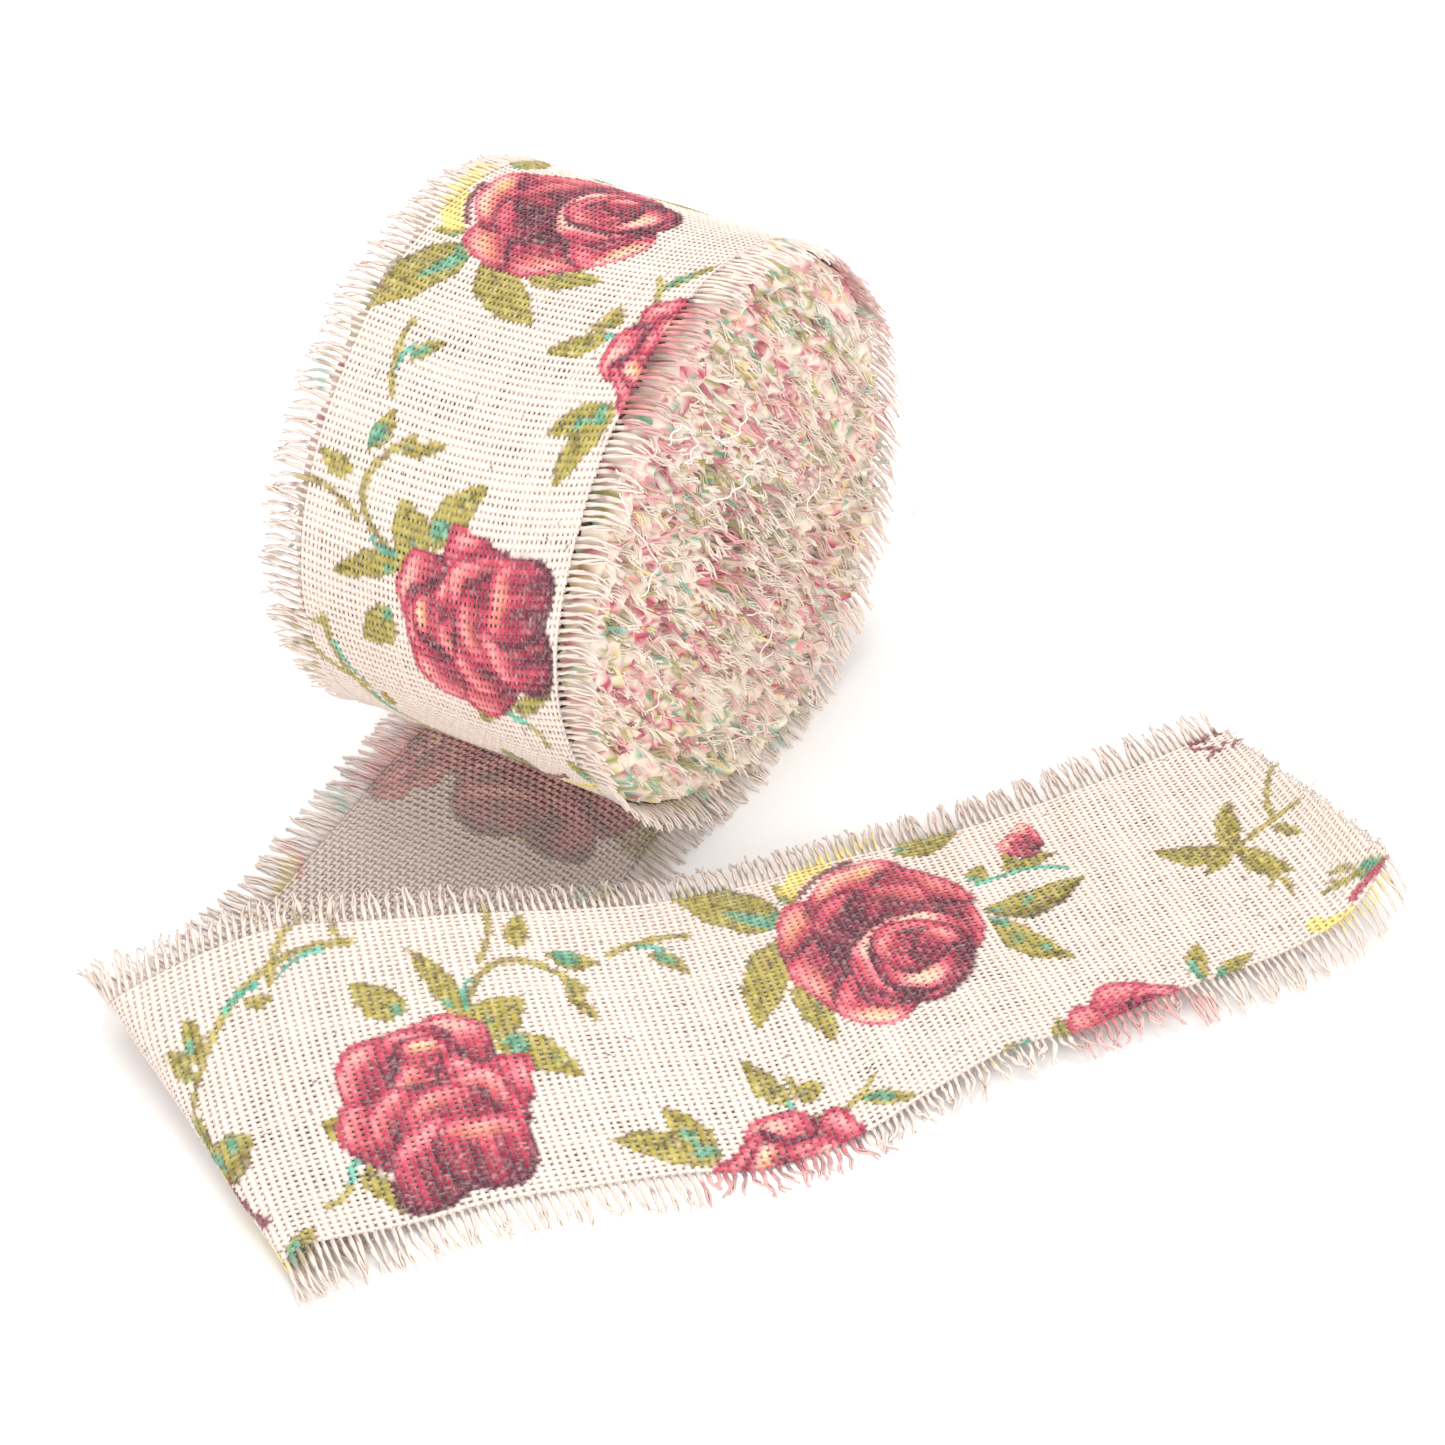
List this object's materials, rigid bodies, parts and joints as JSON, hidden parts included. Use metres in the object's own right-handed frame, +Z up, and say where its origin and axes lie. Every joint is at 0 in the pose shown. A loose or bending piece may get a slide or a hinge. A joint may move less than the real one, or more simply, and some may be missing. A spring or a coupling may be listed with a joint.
{
  "type": "burlap ribbon",
  "caption": "Loosely wound roll of fringed burlap ribbon whose loose end lies flat, turns back over itself in a soft fold and runs out to a cut end.",
  "frame": {"origin": "middle of the small flat spot that the roll rests on", "axes": "+Z up from the table; +X to the right and +Y away from a viewer in front of the loose end; the roll's axis lies 30.5 degrees from X, its near end towards +X and -Y"},
  "size_m": [0.1907, 0.186, 0.0777],
  "materials": {
    "cloth": "open plain weave, matte",
    "winding": "open plain weave and frayed thread ends, matte",
    "fringe": "frayed yarn, matte"
  },
  "bodies": {
    "root": {"ribbon_roll": "winding", "ribbon_tail": "cloth", "fringe_roll_near": "fringe", "fringe_roll_far": "fringe", "fringe_under_left": "fringe", "fringe_fold_left": "fringe", "fringe_back": "fringe", "fringe_under_right": "fringe", "fringe_front": "fringe"}
  },
  "joints": []
}
